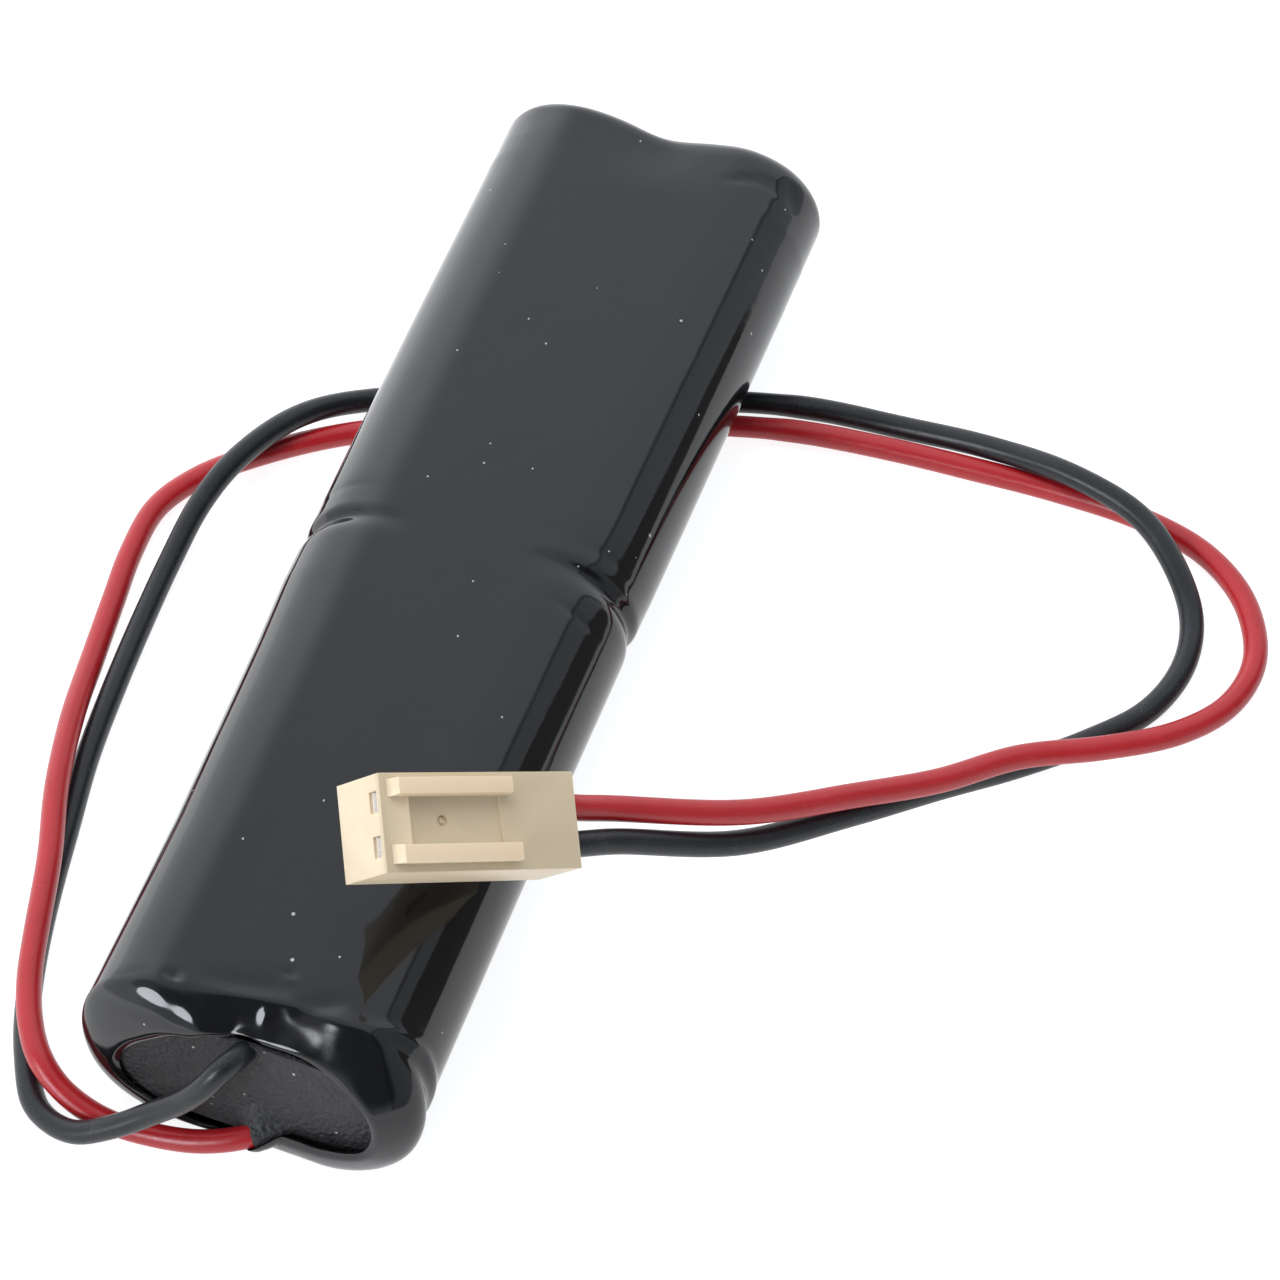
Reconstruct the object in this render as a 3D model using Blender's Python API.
"""Rechargeable battery pack: four AA cells, two side by side and two long, in a
black heat-shrink sleeve, with a red and a black lead that run round under the
pack to a two-way crimp plug.

Frame: +X across the pack, +Y along it towards the far end (the near end is the
end the leads leave), +Z up.  The origin is in the middle of the sleeve's flat
underside.  All lengths below are in millimetres; MM turns them into metres.
"""
import math

import bmesh
import bpy
from mathutils import Euler, Matrix, Vector

MM = 0.001
ORIGIN = (0.0, 0.0, 0.0)

# ------------------------------------------------------------ driving sizes
SLEEVE_R = 7.4            # outer radius of each long edge of the sleeve
SLEEVE_WALL = 0.3
LOBE_X = 7.25             # cell centre lines are at x = +-LOBE_X
AXIS_Z = SLEEVE_R         # height of the cell centre lines above the underside
PACK_HALF = 51.8          # half of the sleeve's length
END_SLANT = 0.2           # the near end leans back this much per mm of height

CELL_LENGTH = 47.0        # underside to button top
CELL_GAP_Y = 1.6          # the pair of joints between the cells is centred here
CELL_GAP = 0.8
SEGMENTS = 16             # facets round a cell

NEAR_TOP = CELL_GAP_Y - CELL_GAP / 2      # ends of the near and far pairs of cells
FAR_BASE = CELL_GAP_Y + CELL_GAP / 2
NEAR_FACE = NEAR_TOP - CELL_LENGTH
FAR_FACE = FAR_BASE + CELL_LENGTH

# ------------------------------------------------------------------ helpers
for old in list(bpy.data.objects):
    bpy.data.objects.remove(old, do_unlink=True)
for old in list(bpy.data.meshes):
    bpy.data.meshes.remove(old)


def material(name, colour, roughness, metallic=0.0):
    mat = bpy.data.materials.new(name)
    mat.use_nodes = True
    inputs = mat.node_tree.nodes["Principled BSDF"].inputs
    inputs["Base Color"].default_value = (*colour, 1.0)
    inputs["Roughness"].default_value = roughness
    inputs["Metallic"].default_value = metallic
    return mat


def finish(name, bm, mat, smooth=True, pivot=ORIGIN):
    """Turn a bmesh in millimetres into a named object with its origin at pivot."""
    bmesh.ops.recalc_face_normals(bm, faces=bm.faces)
    where = Vector(pivot)
    for vert in bm.verts:
        vert.co = (vert.co - where) * MM
    mesh = bpy.data.meshes.new(name)
    bm.to_mesh(mesh)
    bm.free()
    if smooth:
        mesh.shade_smooth()
        mesh.set_sharp_from_angle(angle=math.radians(35))
    mesh.materials.append(mat)
    obj = bpy.data.objects.new(name, mesh)
    obj.location = where * MM
    bpy.context.scene.collection.objects.link(obj)
    return obj


def skinned(name, rings, mat, loop=False, smooth=True, pivot=ORIGIN):
    """Join rings of equal length with quads; close them as a loop or with caps."""
    bm = bmesh.new()
    made = [[bm.verts.new(point) for point in ring] for ring in rings]
    count = len(made[0])
    pairs = list(zip(made, made[1:]))
    if loop:
        pairs.append((made[-1], made[0]))
    for low, high in pairs:
        for i in range(count):
            j = (i + 1) % count
            bm.faces.new((low[i], low[j], high[j], high[i]))
    if not loop:
        bm.faces.new(made[0])
        bm.faces.new(list(reversed(made[-1])))
    return finish(name, bm, mat, smooth, pivot)


def shell(name, outer, inner, mat, **options):
    """Open-ended tube between an outer and an inner row of rings."""
    return skinned(name, outer + list(reversed(inner)), mat, loop=True, **options)


def turned(name, profile, base, direction, mat):
    """Solid of revolution about a line along Y: profile is (radius, along)."""
    bm = bmesh.new()
    columns = []
    for radius, along in profile:
        y = base[1] + direction * along
        if radius == 0.0:
            columns.append([bm.verts.new((base[0], y, base[2]))] * SEGMENTS)
            continue
        turns = [2 * math.pi * k / SEGMENTS for k in range(SEGMENTS)]
        columns.append([
            bm.verts.new((base[0] + radius * math.cos(turn), y,
                          base[2] + radius * math.sin(turn)))
            for turn in turns])
    for this, following in zip(columns, columns[1:] + columns[:1]):
        for k in range(SEGMENTS):
            m = (k + 1) % SEGMENTS
            # a column on the axis repeats one vertex, so quads there lose corners
            corners = list(dict.fromkeys((this[k], this[m], following[m], following[k])))
            if len(corners) > 2:
                bm.faces.new(corners)
    return finish(name, bm, mat)


def boxes(name, spans, mat, place=Matrix.Identity(4), pivot=ORIGIN):
    """One object of boxes, each given by its low and high corner."""
    bm = bmesh.new()
    for low, high in spans:
        for vert in bmesh.ops.create_cube(bm, size=1.0)["verts"]:
            vert.co = Vector([(a + b) / 2 + v * (b - a)
                              for v, a, b in zip(vert.co, low, high)])
    bm.transform(place)
    return finish(name, bm, mat, smooth=False, pivot=pivot)


def stadium(half_x, half_z):
    """Outline in x, z of a slot shape lying on its side, centred on the axis.

    It runs up the right-hand arc and down the left-hand one.
    """
    straight = half_x - half_z
    points = []
    for side, start in ((1, -90.0), (-1, 90.0)):
        for k in range(ARC_POINTS):
            turn = math.radians(start + 180.0 * k / (ARC_POINTS - 1))
            points.append((side * straight + half_z * math.cos(turn),
                           AXIS_Z + half_z * math.sin(turn)))
    return points


ARC_POINTS = SEGMENTS // 2 + 1     # points on each arc of a stadium

# ---------------------------------------------------------------- materials
BLACK_SHRINK = material("black_shrink", colour=(0.012, 0.012, 0.014), roughness=0.18)
PAD_BLACK = material("pad_black", colour=(0.02, 0.02, 0.022), roughness=0.75)
CELL_WRAP = material("cell_wrap", colour=(0.05, 0.20, 0.09), roughness=0.35)
NICKEL = material("nickel", colour=(0.60, 0.59, 0.56), roughness=0.28, metallic=1.0)
STEEL = material("plated_steel", colour=(0.52, 0.53, 0.55), roughness=0.3, metallic=1.0)
NYLON = material("nylon", colour=(0.75, 0.74, 0.68), roughness=0.5)
FIBRE = material("fibre_paper", colour=(0.78, 0.76, 0.70), roughness=0.8)
ROLL = material("electrode_roll", colour=(0.06, 0.06, 0.065), roughness=0.7)
SOLDER = material("solder", colour=(0.55, 0.56, 0.58), roughness=0.3, metallic=1.0)
RED_PVC = material("red_pvc", colour=(0.50, 0.012, 0.02), roughness=0.35)
BLACK_PVC = material("black_pvc", colour=(0.02, 0.021, 0.024), roughness=0.35)
COPPER = material("tinned_copper", colour=(0.62, 0.50, 0.40), roughness=0.35, metallic=1.0)
IVORY = material("ivory_nylon", colour=(0.82, 0.71, 0.52), roughness=0.42)
CONTACT = material("tinned_contact", colour=(0.68, 0.67, 0.64), roughness=0.25, metallic=1.0)

# -------------------------------------------------------------- the sleeve
LIP_HALF_X, LIP_HALF_Z = 11.2, 5.9   # half width and height of the end openings
END_ROUND = 1.9           # radius where the sleeve turns in at its ends
END_ROUND_LESS_Z = 0.45   # it turns in this much less in height than in width
END_ROUND_STEPS = 3
BODY_HALF = 42.0          # the slant of the near end starts this far from the middle
CREASE_DEEP, CREASE_FLAT = 0.1, 0.05   # sink between the cells: round sides, flats
CREASE_HALF = 0.8         # half width of that crease


def sleeve_rings(inset):
    """Rings of one skin of the sleeve, from its near lip to its far lip."""
    half_x = LOBE_X + SLEEVE_R - inset
    half_z = SLEEVE_R - inset
    radius = END_ROUND - inset
    stop = PACK_HALF - inset
    # half width, half height and distance from the middle, from a lip inwards
    path = [(LIP_HALF_X, LIP_HALF_Z, stop)]
    for k in range(END_ROUND_STEPS + 1):
        turn = math.radians(90.0 * k / END_ROUND_STEPS)
        path.append((half_x - radius * (1 - math.sin(turn)),
                     half_z - (radius - END_ROUND_LESS_Z) * (1 - math.sin(turn)),
                     stop - radius * (1 - math.cos(turn))))
    path.append((half_x, half_z, BODY_HALF))

    near, far = [], []
    for hx, hz, along in path:
        # the set-back of the near end grows with height and fades inwards
        slant = END_SLANT * (along - BODY_HALF) / (PACK_HALF - BODY_HALF)
        near.append([(x, -along + slant * z, z) for x, z in stadium(hx, hz)])
        far.append([(x, along, z) for x, z in stadium(hx, hz)])

    # the crease round the joint between the near and the far cells
    whole = stadium(half_x, half_z)
    sunk = []
    for x, z in whole:
        rise = max(-1.0, min(1.0, (z - AXIS_Z) / half_z))
        level = math.sqrt(1.0 - rise * rise)
        sunk.append((x - math.copysign(CREASE_DEEP, x) * level, z - CREASE_FLAT * rise))
    crease = [[(x, CELL_GAP_Y + shift, z) for x, z in outline]
              for outline, shift in ((whole, -CREASE_HALF), (sunk, 0.0), (whole, CREASE_HALF))]
    return near + crease + list(reversed(far))


shell("shrink_sleeve", sleeve_rings(0.0), sleeve_rings(SLEEVE_WALL), BLACK_SHRINK)

# ------------------------------------------------------- insulating end pads
PAD_HALF_X, PAD_HALF_Z, PAD_THICK = 13.0, 6.0, 0.5
PAD_FACE = PACK_HALF - SLEEVE_WALL - 0.15   # outer face, from the middle of the pack
# Notches of the near pad: left x, right x, z of the notch's floor or roof.
NOTCH_TOP = (-1.7, 2.3, 8.6)
NOTCH_BOTTOM = (-0.6, 6.6, 6.0)


def pad(name, y_outer, y_inner, outline, slant):
    skinned(name, [[(x, y + slant * z, z) for x, z in outline] for y in (y_outer, y_inner)],
            PAD_BLACK, smooth=False)


def notch(start_x, end_x, edge_z, deep_z):
    """Outline points of a square notch in the pad's edge."""
    return [(start_x, edge_z), (start_x, deep_z), (end_x, deep_z), (end_x, edge_z)]


plain = stadium(PAD_HALF_X, PAD_HALF_Z)
top_left, top_right, top_deep = NOTCH_TOP
bottom_left, bottom_right, bottom_deep = NOTCH_BOTTOM
notched = (plain[:ARC_POINTS]
           + notch(top_right, top_left, AXIS_Z + PAD_HALF_Z, top_deep)
           + plain[ARC_POINTS:]
           + notch(bottom_left, bottom_right, AXIS_Z - PAD_HALF_Z, bottom_deep))
pad("near_end_insulator", -PAD_FACE, -PAD_FACE + PAD_THICK, notched, END_SLANT)
pad("far_end_insulator", PAD_FACE, PAD_FACE - PAD_THICK, plain, 0.0)

# --------------------------------------------------------------- four cells
JACKET_R, JACKET_WALL = 7.0, 0.15
JACKET_MOUTH_R = 5.6
JACKET_TOP = CELL_LENGTH - 0.55
JACKET_BORE_R = JACKET_R - JACKET_WALL
CAN_R, CAN_WALL = 6.75, 0.3
CAN_BORE_R = CAN_R - CAN_WALL
CAN_MOUTH_R = 5.7
RIM = CELL_LENGTH - 1.1   # top of the can
BEAD = RIM - 2.5          # middle of the groove pressed round the can
BEAD_DEEP = 0.5
ROLL_BORE_R, ROLL_R = 1.0, 6.3
ROLL_START, ROLL_STOP = 1.2, BEAD - 0.85
SEAL_R, SEAL_BORE_R, SEAL_LIP_R = 6.3, 6.0, 5.3
BUTTON_R, BUTTON_WALL = 2.75, 0.4
BUTTON_BORE_R = BUTTON_R - BUTTON_WALL
FLANGE_R, FLANGE_TOP, FLANGE_BASE = 5.85, RIM - 0.85, RIM - 1.3
WASHER_BORE_R, WASHER_R = 3.1, 6.2

# Part name, material, profile as (radius, distance from the cell's underside).
CELL_PARTS = [
    ("jacket", CELL_WRAP, [
        (JACKET_MOUTH_R, 0.0), (JACKET_R - 0.7, 0.0), (JACKET_R, 0.8),
        (JACKET_R, JACKET_TOP - 0.6), (JACKET_R - 0.5, JACKET_TOP),
        (JACKET_MOUTH_R, JACKET_TOP), (JACKET_MOUTH_R, JACKET_TOP - JACKET_WALL),
        (JACKET_R - 0.56, JACKET_TOP - JACKET_WALL), (JACKET_BORE_R, JACKET_TOP - 0.66),
        (JACKET_BORE_R, 0.86), (JACKET_R - 0.76, JACKET_WALL),
        (JACKET_MOUTH_R, JACKET_WALL)]),
    ("can", STEEL, [
        (0.0, 0.35), (CAN_R - 0.75, 0.35), (CAN_R, 1.15),
        (CAN_R, BEAD - 0.5), (CAN_R - BEAD_DEEP, BEAD), (CAN_R, BEAD + 0.5),
        (CAN_R, RIM - 0.45), (CAN_R - 0.4, RIM), (CAN_MOUTH_R, RIM),
        (CAN_MOUTH_R, RIM - CAN_WALL), (CAN_BORE_R - 0.15, RIM - CAN_WALL),
        (CAN_BORE_R, RIM - 0.5),
        (CAN_BORE_R, BEAD + 0.6), (CAN_BORE_R - BEAD_DEEP, BEAD), (CAN_BORE_R, BEAD - 0.6),
        (CAN_BORE_R, 1.25), (CAN_BORE_R - 0.35, 0.75), (0.0, 0.75)]),
    ("electrode_roll", ROLL, [
        (ROLL_BORE_R, ROLL_START), (ROLL_R, ROLL_START),
        (ROLL_R, ROLL_STOP), (ROLL_BORE_R, ROLL_STOP)]),
    ("seal_ring", NYLON, [
        (SEAL_R, RIM - 1.75), (SEAL_R, RIM - 0.5), (SEAL_LIP_R, RIM - 0.5),
        (SEAL_LIP_R, RIM - 0.75), (SEAL_BORE_R, RIM - 0.75), (SEAL_BORE_R, RIM - 1.45),
        (SEAL_LIP_R, RIM - 1.45), (SEAL_LIP_R, RIM - 1.75)]),
    ("positive_cap", NICKEL, [
        (0.0, CELL_LENGTH), (BUTTON_R, CELL_LENGTH), (BUTTON_R, FLANGE_TOP),
        (FLANGE_R, FLANGE_TOP), (FLANGE_R, FLANGE_BASE), (BUTTON_BORE_R, FLANGE_BASE),
        (BUTTON_BORE_R, CELL_LENGTH - BUTTON_WALL), (0.0, CELL_LENGTH - BUTTON_WALL)]),
    ("insulating_washer", FIBRE, [
        (WASHER_BORE_R, RIM + 0.1), (WASHER_R, RIM + 0.1),
        (WASHER_R, RIM + 0.3), (WASHER_BORE_R, RIM + 0.3)]),
]

# Name, x, y of the underside, direction of the button along Y.
CELLS = [
    ("near_left_cell", -LOBE_X, NEAR_FACE, 1),
    ("far_left_cell", -LOBE_X, FAR_BASE, 1),
    ("near_right_cell", LOBE_X, NEAR_TOP, -1),
    ("far_right_cell", LOBE_X, FAR_FACE, -1),
]
for cell_name, cell_x, underside, direction in CELLS:
    for part, mat, profile in CELL_PARTS:
        turned(f"{cell_name}_{part}", profile, (cell_x, underside, AXIS_Z), direction, mat)

# ------------------------------------------------------------ nickel strips
TAB_THICK, TAB_WIDE = 0.2, 5.0
TAB_CLEAR = 0.2           # between the outer strips and the cell ends
SERIES_HALF, TAB_HALF = 4.5, 3.5   # half lengths; the bus reaches TAB_HALF past the axes


def strip(name, x, half, y_low):
    boxes(name, [((x - half, y_low, AXIS_Z - TAB_WIDE / 2),
                  (x + half, y_low + TAB_THICK, AXIS_Z + TAB_WIDE / 2))], NICKEL)


strip("left_series_strip", -LOBE_X, SERIES_HALF, CELL_GAP_Y - TAB_THICK / 2)
strip("right_series_strip", LOBE_X, SERIES_HALF, CELL_GAP_Y - TAB_THICK / 2)
strip("far_bus_strip", 0.0, LOBE_X + TAB_HALF, FAR_FACE + TAB_CLEAR)
strip("positive_lead_tab", LOBE_X, TAB_HALF, NEAR_FACE - TAB_CLEAR - TAB_THICK)
strip("negative_lead_tab", -LOBE_X, TAB_HALF, NEAR_FACE - TAB_CLEAR - TAB_THICK)

# --------------------------------------------------------- place of the plug
PLUG_L, PLUG_W, PLUG_T = 17.4, 7.8, 7.1
HALF_L, HALF_W, HALF_T = PLUG_L / 2, PLUG_W / 2, PLUG_T / 2
PLUG_CENTRE = Vector((12.2, -29.8, 22.1))
PLUG_YAW, PLUG_PITCH, PLUG_ROLL = 42.0, 31.5, 29.5
PITCH = 3.5               # between the two ways
WAY_Y = {"red": PITCH / 2, "black": -PITCH / 2}
WAY_Z = 1.0               # height of the ways above the housing's mid plane
BEND_AT = HALF_L + 1.4    # the plug hinges on its leads this far behind its middle

PLUG_AXES = Euler((math.radians(PLUG_ROLL), math.radians(PLUG_PITCH),
                   math.radians(PLUG_YAW)), "XYZ").to_matrix()
PLACE = Matrix.Translation(PLUG_CENTRE) @ PLUG_AXES.to_4x4()


def in_plug(x, y, z):
    """A point given along (+x to the rear), across and above the plug's middle."""
    return PLUG_CENTRE + PLUG_AXES @ Vector((x, y, z))


BEND_POINT = in_plug(BEND_AT, 0.0, WAY_Z)

# ------------------------------------------------------------- lead routes
LEAD_R = 1.0              # outside of the lead's insulation
BORE_R = 0.65
CORE_R = 0.5              # stranded copper core
LEAD_SIDES, CORE_SIDES = 8, 6
STATION = 4.6             # spacing of the rings along a lead
FIXED_STATION = STATION * 0.8
SPAN_STEPS = 14           # curve steps between two way points
TABLE_DROP = 2.3          # the leads under the far half hold it up this much
TABLE_DROP_Y = 28.0

# Hand-laid way points.  "inside" is x, y, z within the near end; the rest are
# x, y and how far the lead is held clear of the table.  Each of "loop", "bow"
# and "tail" begins at a hinge.
RED_ROUTE = {
    "inside": [
        (6.4, -47.45, 5.8), (5.0, -47.9, 4.5), (3.9, -49.2, 3.4), (2.5, -50.6, 2.8),
        (0.3, -52.0, 2.4)],
    "fixed": [
        (-3.0, -53.1, 0.7), (-7.4, -53.5, 0.0), (-11.6, -53.5, 0.1), (-15.2, -52.7, 1.1),
        (-18.0, -51.0, 2.2), (-20.3, -48.0, 2.4), (-22.1, -44.3, 2.4), (-23.5, -40.0, 2.4),
        (-25.6, -33.0, 2.3), (-28.3, -26.0, 2.2), (-30.7, -18.5, 1.4), (-32.4, -11.5, 0.3),
        (-33.3, -5.0, 0.0), (-33.6, 0.5, 0.0), (-33.0, 6.5, 0.0), (-30.8, 11.0, 0.0),
        (-27.0, 15.3, 0.0), (-20.0, 20.4, 0.0), (-7.0, 25.0, 0.0), (6.0, 29.4, 0.0),
        (14.0, 31.7, 0.0)],
    "loop": [(19.5, 32.8, 0.0), (27.0, 33.4, 0.0), (35.0, 33.6, 0.0), (43.0, 33.6, 0.0)],
    "bow": [
        (51.5, 32.9, 0.0), (57.8, 30.6, 0.0), (62.2, 26.6, 0.0), (64.6, 21.0, 0.0),
        (63.8, 15.8, 0.2), (60.6, 11.0, 0.9), (55.5, 6.8, 1.9)],
    "tail": [(49.0, 2.0, 3.2), (43.6, -3.8, 5.0), (38.0, -8.8, 7.6), (30.6, -14.6, 11.6)],
}
BLACK_ROUTE = {
    "inside": [
        (-5.4, -47.45, 5.6), (-3.0, -47.45, 6.9), (-1.0, -47.5, 8.7), (0.2, -48.1, 10.6),
        (0.4, -49.4, 11.8), (-0.4, -50.9, 11.9), (-1.7, -52.2, 10.3), (-3.7, -53.0, 8.0)],
    "fixed": [
        (-6.4, -53.8, 4.7), (-9.6, -55.0, 2.6), (-13.4, -55.7, 0.7), (-17.3, -54.2, 0.0),
        (-20.0, -50.2, 0.0), (-21.7, -46.6, 0.0), (-23.4, -41.6, 0.0), (-25.0, -35.4, 0.0),
        (-26.7, -28.4, 0.0), (-27.9, -21.5, 0.0), (-28.8, -14.0, 0.0), (-29.6, -6.5, 0.0),
        (-29.9, 0.5, 0.4), (-29.1, 6.6, 1.6), (-27.6, 12.2, 2.4), (-24.4, 18.8, 2.4),
        (-19.4, 24.4, 0.2), (-6.0, 28.6, 0.0), (7.0, 32.6, 0.0), (14.0, 34.7, 0.0)],
    "loop": [(20.0, 35.8, 0.0), (28.0, 36.5, 0.0), (36.0, 36.5, 0.8), (44.5, 34.9, 2.3)],
    "bow": [
        (51.5, 31.4, 2.4), (55.3, 28.0, 1.5), (58.2, 23.6, 0.3), (58.9, 18.4, 0.0),
        (57.3, 13.0, 0.0), (53.8, 8.2, 0.0)],
    "tail": [(49.0, 3.6, 0.4), (43.6, -3.2, 2.3), (37.8, -9.8, 4.6), (30.6, -16.8, 8.6)],
}


def on_table(way):
    """Centre of a lead at a way point, over the table that the pack lies on."""
    x, y, clear = way
    table_z = -TABLE_DROP * (y + PACK_HALF) / (TABLE_DROP_Y + PACK_HALF)
    return (x, y, table_z + LEAD_R + clear)


def hinge_point(label, level_route):
    """Point midway in y between the leads, at the height of one of them."""
    red, black = RED_ROUTE[label][0], BLACK_ROUTE[label][0]
    return (black[0], (red[1] + black[1]) / 2, on_table(level_route[label][0])[2])


# Stretches of a lead: name, gap left each side of the hinge it begins at, pivot.
STRETCHES = [
    ("fixed", 0.0, ORIGIN),
    ("loop", 0.75, on_table(BLACK_ROUTE["loop"][0])),
    ("bow", 0.95, hinge_point("bow", RED_ROUTE)),
    ("tail", 0.95, hinge_point("tail", BLACK_ROUTE)),
    ("plug_end", 0.65, BEND_POINT),
]


# -------------------------------------------------------------------- leads
def blend(first, second, start, end, at):
    """The value at a knot, on the line from first at start to second at end."""
    return first * ((end - at) / (end - start)) + second * ((at - start) / (end - start))


def spline(points):
    """Centripetal Catmull-Rom curve, SPAN_STEPS points to each span."""
    pts = [Vector(p) for p in points]
    pts = [2 * pts[0] - pts[1]] + pts + [2 * pts[-1] - pts[-2]]
    curve = []
    for i in range(1, len(pts) - 2):
        near = pts[i - 1:i + 3]
        knots = [0.0]
        for here, following in zip(near, near[1:]):
            knots.append(knots[-1] + math.sqrt((following - here).length))
        for k in range(SPAN_STEPS):
            at = knots[1] + (knots[2] - knots[1]) * k / SPAN_STEPS
            lines = [blend(near[j], near[j + 1], knots[j], knots[j + 1], at)
                     for j in range(3)]
            bends = [blend(lines[j], lines[j + 1], knots[j], knots[j + 2], at)
                     for j in range(2)]
            curve.append(blend(bends[0], bends[1], knots[1], knots[2], at))
    curve.append(pts[-2])
    return curve


def lengths(curve):
    """Distance along the curve of each of its points."""
    total = [0.0]
    for here, following in zip(curve, curve[1:]):
        total.append(total[-1] + (following - here).length)
    return total


def stretch(curve, start, end, spacing):
    """Evenly spaced points of a curve between two distances along it."""
    total = lengths(curve)
    count = max(2, int(round((end - start) / spacing)) + 1)
    out = []
    i = 0
    for k in range(count):
        want = start + (end - start) * k / (count - 1)
        while i < len(total) - 2 and total[i + 1] < want:
            i += 1
        share = (want - total[i]) / (total[i + 1] - total[i])
        out.append(curve[i].lerp(curve[i + 1], share))
    return out


def hoops(points, radius, sides):
    """Rings square to a line of points, turned as little as possible."""
    side = None
    rings = []
    for i, point in enumerate(points):
        ahead = (points[min(i + 1, len(points) - 1)] - points[max(i - 1, 0)]).normalized()
        if side is None:
            side = ahead.cross(Vector((0, 0, 1))).normalized()
        side = (side - ahead * side.dot(ahead)).normalized()
        up = ahead.cross(side)
        rings.append([point + radius * (side * math.cos(2 * math.pi * k / sides)
                                        + up * math.sin(2 * math.pi * k / sides))
                      for k in range(sides)])
    return rings


BARE_END = 2.4            # the core runs on this far to the nickel tab
CORE_STOP = -1.2          # x in the plug where the core ends
LEAD_STOP = 1.8           # x in the plug where the insulation ends
COLLAR_BORE_R = 0.62
COLLAR = [(0.5, 0.8), (1.4, 1.1), (2.3, 0.85)]   # distance past the insulation, radius


def solder_joint(colour, end, outwards):
    """Solder collar round the bare end of the core, against the nickel tab."""
    line = [end + outwards * along for along, _ in COLLAR]
    outer = [hoops(line, radius, LEAD_SIDES)[i] for i, (_, radius) in enumerate(COLLAR)]
    shell(f"{colour}_solder_joint", outer, hoops(line, COLLAR_BORE_R, LEAD_SIDES), SOLDER)


def lead(colour, mat, route):
    """Insulation and core of one lead, in stretches parted at the hinges."""
    way_y = WAY_Y[colour]
    ways = route["inside"] + [on_table(p) for p in route["fixed"]]
    marks = [0]               # way points where the stretches begin
    for label in ("loop", "bow", "tail"):
        marks.append(len(ways))
        ways += [on_table(p) for p in route[label]]
    marks.append(len(ways) + 1)
    ways += [in_plug(BEND_AT + 4.0, way_y * 0.9, WAY_Z), in_plug(BEND_AT, way_y, WAY_Z),
             in_plug(BEND_AT - 3.0, way_y, WAY_Z), in_plug(LEAD_STOP, way_y, WAY_Z)]
    marks.append(len(ways) - 1)

    curve = spline(ways)
    total = lengths(curve)
    cuts = [total[SPAN_STEPS * mark] for mark in marks]
    gaps = [gap for _, gap, _ in STRETCHES] + [0.0]
    for i, (label, gap, pivot) in enumerate(STRETCHES):
        points = stretch(curve, cuts[i] + gap, cuts[i + 1] - gaps[i + 1],
                         FIXED_STATION if label == "fixed" else STATION)
        shell(f"{colour}_lead_{label}", hoops(points, LEAD_R, LEAD_SIDES),
              hoops(points, BORE_R, LEAD_SIDES), mat, pivot=pivot)
        # the core runs bare past the insulation at the lead's two outer ends
        wire = list(points)
        if label == "fixed":
            back = (points[0] - points[1]).normalized()
            outwards = Vector((back.x, 0.0, back.z)).normalized()
            wire.insert(0, points[0] + outwards * BARE_END)
            solder_joint(colour, points[0], outwards)
        if label == "plug_end":
            wire.append(in_plug(CORE_STOP, way_y, WAY_Z))
        skinned(f"{colour}_core_{label}", hoops(wire, CORE_R, CORE_SIDES), COPPER,
                pivot=pivot)


lead("red", RED_PVC, RED_ROUTE)
lead("black", BLACK_PVC, BLACK_ROUTE)

# --------------------------------------------------------------------- plug
RAIL_END = 3.0            # the guide rails stop here; the rear third is plain
RAIL_IN, RAIL_OUT = 2.2, 3.35   # the rails run between these distances off the middle
DECK_Z = HALF_T - 0.9     # height of the plain top face the rails stand on
ROOM_START, SLOT_STOP = 1.6, 2.2   # behind the front face
ROOM_HALF, SLOT_HALF = 1.25, 0.85  # half widths
ROOM_BELOW, ROOM_ABOVE = 1.4, 1.3  # off the height of the ways
SLOT_LOW, SLOT_HIGH = 0.05, 1.15   # above the height of the ways
OVERCUT = 1.0             # cutters pass this far outside the housing
DECK_OVERLAP = 0.5        # the cutters beside the rails run into the deck cutter

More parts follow.
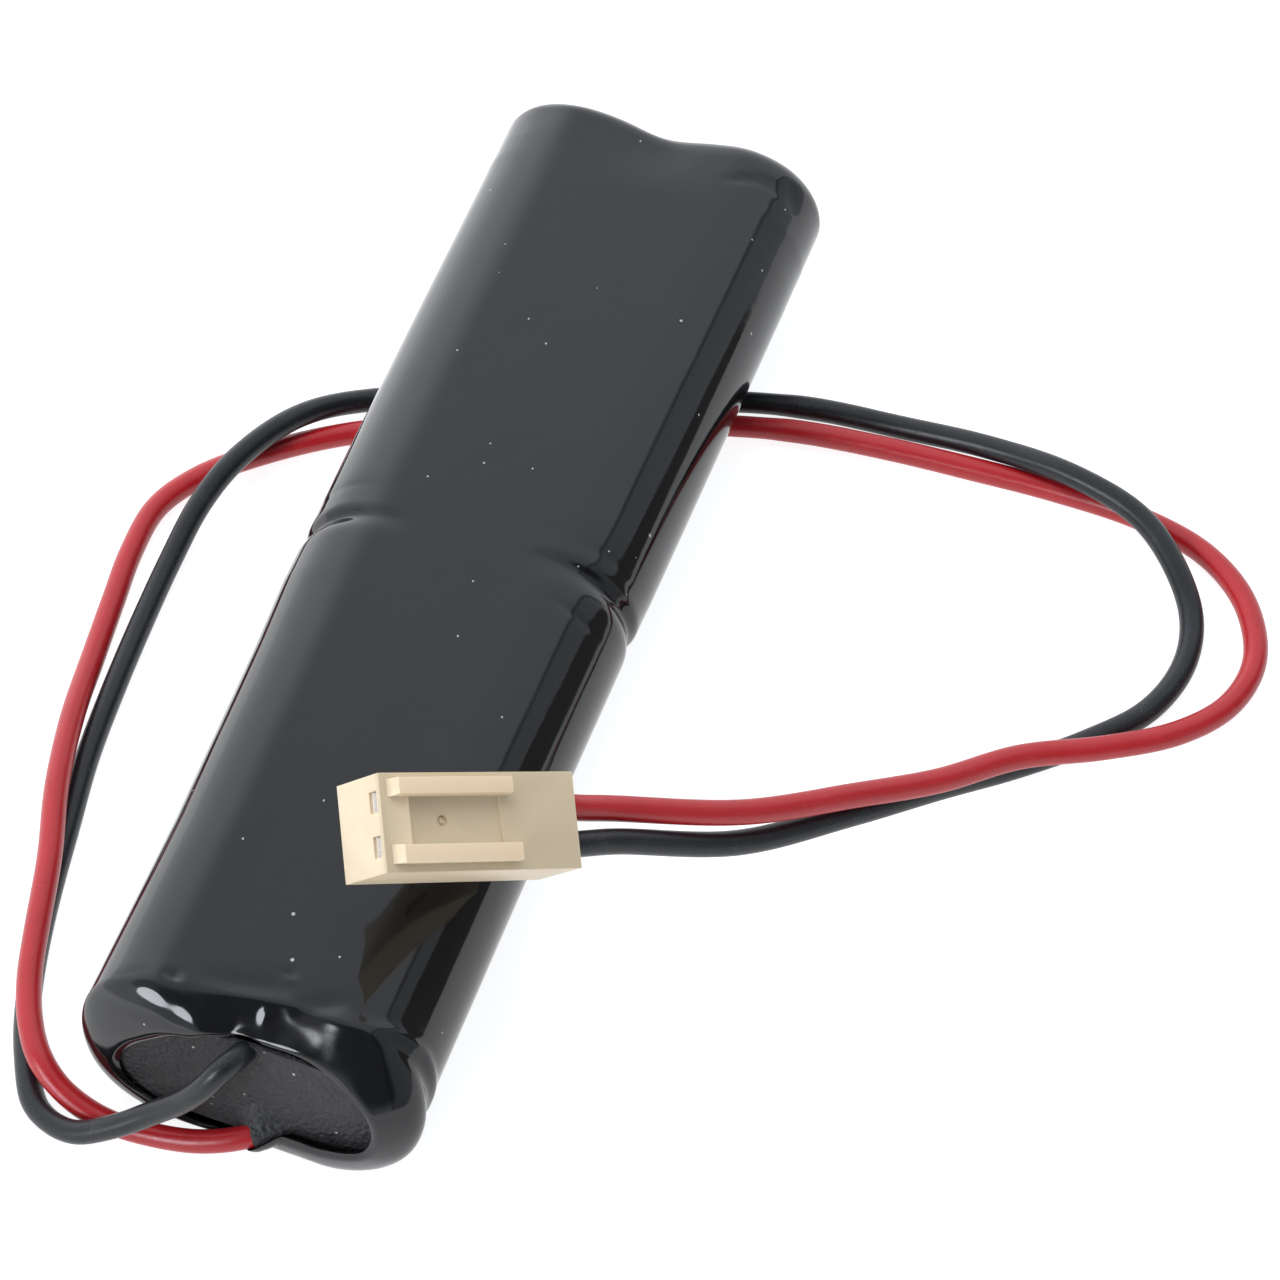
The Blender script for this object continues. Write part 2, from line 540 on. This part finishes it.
FRONT, REAR = -HALF_L - OVERCUT, HALF_L + OVERCUT
SIDE, ABOVE = HALF_W + OVERCUT, HALF_T + OVERCUT
RAIL_CUT_END = RAIL_END + DECK_OVERLAP

# Boxes in the plug's own axes, as low and high corners.
CUTTERS = {
    "cut_rooms": [((-HALF_L + ROOM_START, y - ROOM_HALF, WAY_Z - ROOM_BELOW),
                   (REAR, y + ROOM_HALF, WAY_Z + ROOM_ABOVE)) for y in WAY_Y.values()],
    "cut_slots": [((FRONT, y - SLOT_HALF, WAY_Z + SLOT_LOW),
                   (-HALF_L + SLOT_STOP, y + SLOT_HALF, WAY_Z + SLOT_HIGH))
                  for y in WAY_Y.values()],
    "cut_deck": [((RAIL_END, -SIDE, DECK_Z), (REAR, SIDE, ABOVE))],
    "cut_top": [((FRONT, low, DECK_Z), (RAIL_CUT_END, high, ABOVE))
                for low, high in ((-RAIL_IN, RAIL_IN), (RAIL_OUT, SIDE), (-SIDE, -RAIL_OUT))],
}


def plug_housing():
    housing = boxes("plug_housing", [((-HALF_L, -HALF_W, -HALF_T), (HALF_L, HALF_W, HALF_T))],
                    IVORY, PLACE, BEND_POINT)
    for name, spans in CUTTERS.items():
        cutter = boxes(name, spans, IVORY, PLACE, BEND_POINT)
        cutter.hide_render = True
        cutter.display_type = "WIRE"
        cut = housing.modifiers.new(name, "BOOLEAN")
        cut.operation = "DIFFERENCE"
        cut.object = cutter


CONTACT_WALL = 0.18
# x in the plug, half width, half height
CONTACT_STATIONS = [
    (-HALF_L + 1.9, 0.98, 1.12), (-2.6, 0.98, 1.12), (-2.2, 0.8, 0.8), (1.2, 0.8, 0.8)]


def contact(colour):
    """Box-section contact, open at both ends, round the front of the core."""
    def rings(inset):
        return [[in_plug(x, WAY_Y[colour] + across * (half_y - inset),
                         WAY_Z + up * (half_z - inset))
                 for across, up in ((-1, -1), (1, -1), (1, 1), (-1, 1))]
                for x, half_y, half_z in CONTACT_STATIONS]

    shell(f"{colour}_contact", rings(0.0), rings(CONTACT_WALL), CONTACT,
          smooth=False, pivot=BEND_POINT)


plug_housing()
contact("red")
contact("black")
